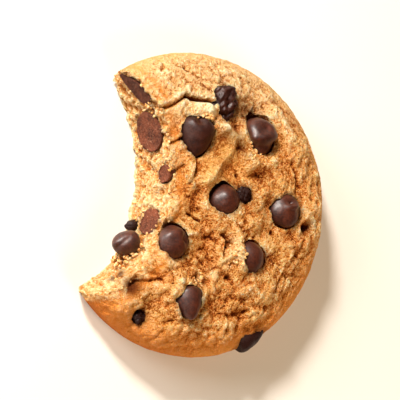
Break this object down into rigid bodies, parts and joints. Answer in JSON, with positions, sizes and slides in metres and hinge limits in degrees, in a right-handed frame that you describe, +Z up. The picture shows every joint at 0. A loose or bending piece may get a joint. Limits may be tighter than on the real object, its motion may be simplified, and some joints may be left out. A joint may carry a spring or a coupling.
{
  "type": "chocolate chip cookie",
  "caption": "Soft round chocolate chip cookie with a large bite out of one side, chips standing in the craggy top and cut through at the bite.",
  "frame": {"origin": "centre of the cookie's round underside, on the surface it lies on", "axes": "+Z up through the thickness, baked top up; +Y along the longer way across the bitten cookie; the bite is on the -X side"},
  "size_m": [0.0576, 0.0613, 0.0149],
  "materials": {
    "baked_dough": "matte, craggy baked crumb, pale on the lumps and orange brown in the creases",
    "chocolate": "satin dark chocolate, matte and grainy where bitten through"
  },
  "bodies": {
    "root": {"dough": "baked_dough", "chip_wall_top": "chocolate", "chip_wall_broad": "chocolate", "chip_wall_slim": "chocolate", "chip_wall_middle": "chocolate", "chip_wall_proud": "chocolate", "chip_wall_bit": "chocolate", "chip_cone": "chocolate", "chip_pit": "chocolate", "chip_split": "chocolate", "chip_centre": "chocolate", "chip_centre_bit": "chocolate", "chip_curl": "chocolate", "chip_edge": "chocolate", "chip_half": "chocolate", "chip_low": "chocolate", "chip_sunk": "chocolate", "chip_rim": "chocolate"}
  },
  "joints": []
}
